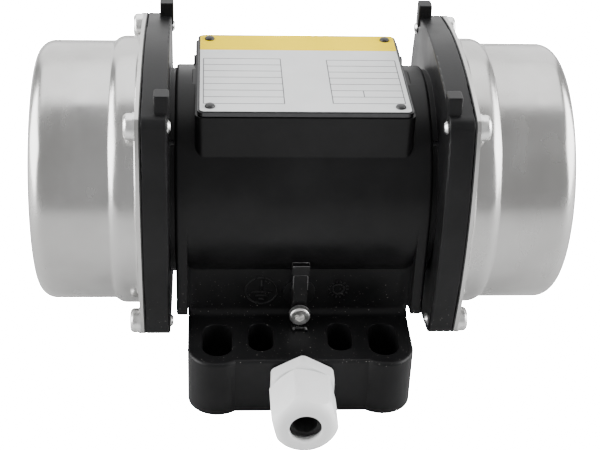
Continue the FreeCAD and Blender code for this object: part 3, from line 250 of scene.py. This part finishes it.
def metal(name, colour, roughness):
    """Plain metal with a fine even grain."""
    material, tree, shader = new_material(name, colour, 1, roughness)
    grain = add_noise(tree, 400)
    tree.links.new(spread(tree, grain, roughness * 0.85, roughness * 1.15), shader.inputs["Roughness"])
    darker = tuple(share * 0.86 for share in colour)
    surface = blend_colours(tree, spread(tree, grain, 0, 1), darker, colour)
    tree.links.new(surface, shader.inputs["Base Color"])
    add_bump(tree, shader, grain, 0.02 * MM, 0.3)
    return material


def plastic(name, colour, roughness, grain_scale=600, depth=0.04 * MM, shine=0.5):
    """Plastic, rubber, paint or print with soft clouds in its colour and a fine grain."""
    material, tree, shader = new_material(name, colour, 0, roughness)
    shader.inputs["Specular IOR Level"].default_value = shine
    grain = add_noise(tree, grain_scale)
    clouds = add_noise(tree, 60)
    darker = tuple(share * 0.93 for share in colour)
    surface = blend_colours(tree, spread(tree, clouds, 0, 1), darker, colour)
    tree.links.new(surface, shader.inputs["Base Color"])
    tree.links.new(spread(tree, grain, roughness * 0.9, roughness * 1.1), shader.inputs["Roughness"])
    add_bump(tree, shader, grain, depth, 0.35)
    return material


def flat_print(name, colour, roughness, shine=0.5):
    """Smooth ink or foil on the plate."""
    return plastic(name, colour, roughness, 300, 0.01 * MM, shine)


def make_finishes():
    """One material for each slot in the record, and for each finish that only this script uses."""
    return {
        "black_coat": black_coat(),
        "stainless": drawn_steel(),
        "zinc_steel": metal("zinc_steel", (0.86, 0.86, 0.85), 0.3),
        "black_screw": plastic("black_screw", (0.02, 0.02, 0.021), 0.35),
        "cover_metal": metal("cover_metal", (0.085, 0.085, 0.088), 0.4),
        "plate_print": flat_print("plate_print", (0.65, 0.66, 0.665), 0.42),
        "band_yellow": flat_print("band_yellow", (1.0, 0.73, 0.0), 0.7, shine=0.0),
        "print_grey": flat_print("print_grey", (0.09, 0.09, 0.10), 0.5),
        # far paler than the black coat: painted highlight on the edges of the earth rib and its block
        "painted_edge_highlight": plastic("painted_edge_highlight", (0.13, 0.13, 0.132), 0.25),
        # a little paler than the black coat the marks are cast in: painted sheen on the raised lines
        "relief_painted_sheen": plastic("relief_painted_sheen", (0.016, 0.016, 0.0165), 0.3, shine=0.25),
        # lighter and darker copies of the zinc plating: painted light and painted shade on the earth
        # screw's parts
        "zinc_painted_lit": metal("zinc_painted_lit", (0.95, 0.95, 0.93), 0.36),
        "zinc_painted_shade": metal("zinc_painted_shade", (0.16, 0.16, 0.165), 0.26),
        "black_oxide": metal("black_oxide", (0.04, 0.04, 0.042), 0.5),
        "seal_rubber": plastic("seal_rubber", (0.02, 0.02, 0.02), 0.7),
        "grey_polyamide": plastic("grey_polyamide", (0.96, 0.965, 0.965), 0.4),
        "moulding": plastic("moulding", (0.5, 0.46, 0.38), 0.5),
        "terminal_brass": metal("terminal_brass", (0.78, 0.6, 0.3), 0.3),
        "core_steel": metal("core_steel", (0.35, 0.35, 0.37), 0.5),
        "coil_copper": metal("coil_copper", (0.6, 0.27, 0.12), 0.35),
        "end_ring_metal": metal("end_ring_metal", (0.7, 0.71, 0.72), 0.4),
        "shaft_steel": metal("shaft_steel", (0.6, 0.6, 0.62), 0.25),
        "weight_steel": metal("weight_steel", (0.42, 0.42, 0.44), 0.42),
    }


# Plated pieces with finishes of their own: a lighter copy of the zinc paints light on the earth screw's
# head, a darker copy paints shade on its washer and clamp, and the shield screws, which don't show, are
# black oxide.
OWN_FINISH = {
    "earth_screw": "zinc_painted_lit",
    "earth_washer": "zinc_painted_shade",
    "earth_clamp": "zinc_painted_shade",
    "left_shield_screws": "black_oxide",
    "right_shield_screws": "black_oxide",
}


def dress_nodes(finishes):
    """Each CAD node gets the material of its slot in the record, or a finish of its own."""
    slots = {part["node"]: part["material_slot"] for part in frame["record"]["subparts"]}
    slots.update(OWN_FINISH)
    for node in frame["nodes"]:
        thing = bpy.data.objects[node]
        thing.data.materials.clear()
        thing.data.materials.append(finishes[slots[node]])


# ---------------------------------------------------------------- meshes

ROUND = 36      # points on a circle


def piece(name, bm, material, smooth=False):
    """A new mesh object from bm with the given material, riding on the motor."""
    mesh = bpy.data.meshes.new(name)
    bmesh.ops.recalc_face_normals(bm, faces=bm.faces)
    for face in bm.faces:
        face.smooth = smooth
    bm.to_mesh(mesh)
    bm.free()
    mesh.materials.append(material)
    thing = bpy.data.objects.new(name, mesh)
    bpy.context.collection.objects.link(thing)
    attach(thing, "motor")
    return thing


def arc(centre_x, centre_y, radius, start, end, steps):
    """Points of an arc, in degrees."""
    points = []
    for i in range(steps + 1):
        angle = math.radians(start + (end - start) * i / steps)
        points.append((centre_x + radius * math.cos(angle), centre_y + radius * math.sin(angle)))
    return points


def circle(centre_x, centre_y, radius):
    """ROUND even points on a circle."""
    return arc(centre_x, centre_y, radius, 0, 360 - 360 / ROUND, ROUND - 1)


def rounded_corners(x, y, radius, quarters):
    """Rounded corners at x and y from the middle: quarter 0 is at +x +y, and 1 to 3 follow round."""
    steps = 8
    points = []
    for quarter in quarters:
        across, along = ((1, 1), (-1, 1), (-1, -1), (1, -1))[quarter]
        start = 90 * quarter
        points += arc(across * (x - radius), along * (y - radius), radius, start, start + 90, steps)
    return points


def add_film(bm, outline, holes, low, high):
    """A thin film with holes, filled at its underside and extruded up to its top."""
    edges = []
    for loop in [outline] + holes:
        corners = [bm.verts.new((x, y, low)) for x, y in loop]
        edges += [bm.edges.new((corners[i], corners[i - 1])) for i in range(len(corners))]
    filled = bmesh.ops.triangle_fill(bm, edges=edges, use_beauty=True)
    faces = [item for item in filled["geom"] if isinstance(item, bmesh.types.BMFace)]
    grown = bmesh.ops.extrude_face_region(bm, geom=faces)
    for item in grown["geom"]:
        if isinstance(item, bmesh.types.BMVert):
            item.co.z = high


def add_bar(bm, x0, x1, y0, y1, low, high):
    """A thin bar between two places."""
    add_film(bm, [(x0, y0), (x1, y0), (x1, y1), (x0, y1)], [], low, high)


def add_relief(bm, path, out, radius, closed=False):
    """A round raised line, sunk a little into the wall behind it, along a path on a wall that faces out."""
    points = [Vector(point) for point in path]
    out = Vector(out)
    count = len(points)
    profile = arc(0, 0, radius, -20, 200, 8)
    rings = []
    for i, point in enumerate(points):
        before = points[i - 1] if closed or i > 0 else point
        after = points[(i + 1) % count] if closed or i < count - 1 else point
        across = (after - before).normalized().cross(out)
        rings.append([bm.verts.new(point + side * across + rise * out) for side, rise in profile])
    for i in range(count if closed else count - 1):
        here, there = rings[i], rings[(i + 1) % count]
        for k in range(len(profile)):
            ahead = (k + 1) % len(profile)
            bm.faces.new((here[k], here[ahead], there[ahead], there[k]))
    if not closed:
        bm.faces.new(rings[0])
        bm.faces.new(rings[-1])


# ---------------------------------------------------------------- printed plate

PLATE_CORNER = 1.9 * MM
HEAD = 2.0 * MM             # radius of the domed head that a cover screw shows
CAD_HEAD = 3.3 * MM         # radius of the same screw's head in the solids
FILM_GAP = 0.005 * MM       # between the plate and the films on it
INK_TOP = 0.035 * MM        # how far the band and the tables' lines stand over the plate


def screw_place():
    """How far the cover screws stand from the plate's middle, from the reach of their CAD heads."""
    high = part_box("cover_screws")[1]
    return high[0] - CAD_HEAD, high[1] - CAD_HEAD


def make_plate_films(finishes):
    """The plate's yellow band along the rear edge and its grey face, each open round two screws."""
    high = Vector(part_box("nameplate")[1])
    screw_x, screw_y = screw_place()
    margin, clearance, face_top = 0.05 * MM, 1.03, 0.02 * MM
    x, y = high.x - margin, high.y - margin
    border = 0.58 * high.y
    band = [(-x, border), (x, border)] + rounded_corners(x, y, PLATE_CORNER, (0, 1))
    face = rounded_corners(x, y, PLATE_CORNER, (2, 3)) + [(x, border), (-x, border)]
    for name, outline, end, top, finish in (("plate_band", band, 1, INK_TOP, "band_yellow"),
                                            ("plate_face", face, -1, face_top, "plate_print")):
        holes = [circle(side * screw_x, end * screw_y, HEAD * clearance) for side in (-1, 1)]
        bm = bmesh.new()
        add_film(bm, outline, holes, high.z + FILM_GAP, high.z + top)
        piece(name, bm, finishes[finish])


# Each table's left, right, front and rear in mm, and which row has a short upright, if any.
TABLES = (
    (-39.0, -8.0, -27.4, 11.5, None),
    (10.7, 38.6, -26.9, 10.6, 1),
)


def make_plate_tables(finishes):
    """Two ruled tables of seven blank rows, in thin grey print."""
    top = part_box("nameplate")[1][2]
    rows, half = 7, 0.19 * MM
    ink = (top + 2 * FILM_GAP, top + INK_TOP)
    bm = bmesh.new()
    for *sides, marked in TABLES:
        left, right, front, rear = [place * MM for place in sides]
        step = (rear - front) / rows
        for row in range(rows + 1):
            y = front + row * step
            add_bar(bm, left, right, y - half, y + half, *ink)
        for x in (left, right):
            add_bar(bm, x - half, x + half, front, rear, *ink)
        if marked is not None:
            x = left + 0.45 * (right - left)
            add_bar(bm, x - half, x + half, front + marked * step, front + (marked + 1) * step, *ink)
    piece("plate_tables", bm, finishes["print_grey"])


def make_plate_shadow_line(finishes):
    """A dark ring round the plate: painted shade for the shadow line at its edge."""
    low, high = [Vector(corner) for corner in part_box("nameplate")]
    width, sunk = 0.45 * MM, 0.05 * MM
    inner, outer = [rounded_corners(high.x + grow, high.y + grow, PLATE_CORNER + grow, range(4))
                    for grow in (0, width)]
    bm = bmesh.new()
    add_film(bm, outer, [inner], low.z, high.z - sunk)
    # painted shade: a dark film standing in for the shadow round the plate
    piece("plate_shadow_line", bm, finishes["seal_rubber"])


def make_cover_screws(finishes):
    """Four low domed heads, each a short cylinder under a dome of rings."""
    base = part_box("nameplate")[1][2]
    screw_x, screw_y = screw_place()
    foot, shoulder, rise = -0.3 * MM, 0.15 * MM, 1.15 * MM
    profile = [(HEAD, foot), (HEAD, shoulder)]
    for angle in range(10, 90, 10):
        turn = math.radians(angle)
        profile.append((HEAD * math.cos(turn), shoulder + rise * math.sin(turn)))
    bm = bmesh.new()
    for x, y in ((side * screw_x, end * screw_y) for side in (-1, 1) for end in (-1, 1)):
        rings = []
        for radius, height in profile:
            rings.append([bm.verts.new((px, py, base + height)) for px, py in circle(x, y, radius)])
        for lower, upper in zip(rings, rings[1:]):
            for i in range(ROUND):
                bm.faces.new((lower[i - 1], lower[i], upper[i], upper[i - 1]))
        bm.faces.new(rings[0])
        bm.faces.new(rings[-1])
    heads = piece("cover_screw_heads", bm, finishes["black_screw"], smooth=True)
    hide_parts("cover_screws")


# ---------------------------------------------------------------- cast marks

FRONT = (0, -1, 0)
UP = (0, 0, 1)
PEDESTAL_FRONT = -34.5 * MM
CAST_LINE = 0.36 * MM       # radius of the raised lines


def on_wall(points, y):
    """(x, z) points stood on a wall at y."""
    return [(x, y, z) for x, z in points]


def add_cast_line(bm, points, closed=False):
    """A raised line on the pedestal's front wall through (x, z) points."""
    add_relief(bm, on_wall(points, PEDESTAL_FRONT), FRONT, CAST_LINE, closed)


def make_earth_sign(finishes):
    """The raised earth sign: a stem over three bars that get shorter, in a ring."""
    x, z = -15.4 * MM, 36.9 * MM
    ring, stem_top, stem_foot = 6.5 * MM, 5.2 * MM, -0.7 * MM
    bm = bmesh.new()
    add_cast_line(bm, arc(x, z, ring, 0, 352, 44), closed=True)
    add_cast_line(bm, [(x, z + stem_top), (x, z + stem_foot)])
    for drop, half in ((0.7, 4.0), (2.4, 2.6), (4.1, 1.3)):
        add_cast_line(bm, [(x - half * MM, z - drop * MM), (x + half * MM, z - drop * MM)])
    piece("earth_sign", bm, finishes["relief_painted_sheen"], smooth=True)


def make_foundry_ring(finishes):
    """A plain ring with short pips round it."""
    x, z = 16.2 * MM, 37.5 * MM
    ring, pip_start, pip_end, pips = 2.4 * MM, 3.3 * MM, 4.2 * MM, 14
    bm = bmesh.new()
    add_cast_line(bm, arc(x, z, ring, 0, 345, 24), closed=True)
    for step in range(pips):
        angle = 2 * math.pi * step / pips
        add_cast_line(bm, [(x + reach * math.cos(angle), z + reach * math.sin(angle))
                           for reach in (pip_start, pip_end)])
    piece("foundry_ring", bm, finishes["relief_painted_sheen"], smooth=True)


def make_rounded_edges(finishes):
    """Thin rounds on the edges of the earth rib and its block, in a light grey that paints the highlights
    on those edges.
    """
    radius = 0.2 * MM
    rib_half, rib_top, rib_front, rib_length = 2.9 * MM, 48.9 * MM, -41.0 * MM, 7 * MM
    corner_drop, corner_width = 0.8 * MM, 0.4 * MM
    half, front, rear, top = 3.4 * MM, -41.4 * MM, -38.6 * MM, 53.4 * MM
    rib = [(-rib_half, rib_top - rib_length), (-rib_half, rib_top - corner_drop)]
    rib += [(-rib_half + corner_width, rib_top)]
    rib += [(-x, z) for x, z in reversed(rib)]
    block = [(-half, front, top), (half, front, top), (half, rear, top), (-half, rear, top)]
    bm = bmesh.new()
    add_relief(bm, on_wall(rib, rib_front), FRONT, radius)
    add_relief(bm, block, UP, radius, closed=True)
    piece("earth_rib_edges", bm, finishes["painted_edge_highlight"], smooth=True)


make_camera()
make_light()
make_floor()
finishes = make_finishes()
dress_nodes(finishes)
make_plate_films(finishes)
make_plate_tables(finishes)
make_plate_shadow_line(finishes)
make_cover_screws(finishes)
make_earth_sign(finishes)
make_foundry_ring(finishes)
make_rounded_edges(finishes)
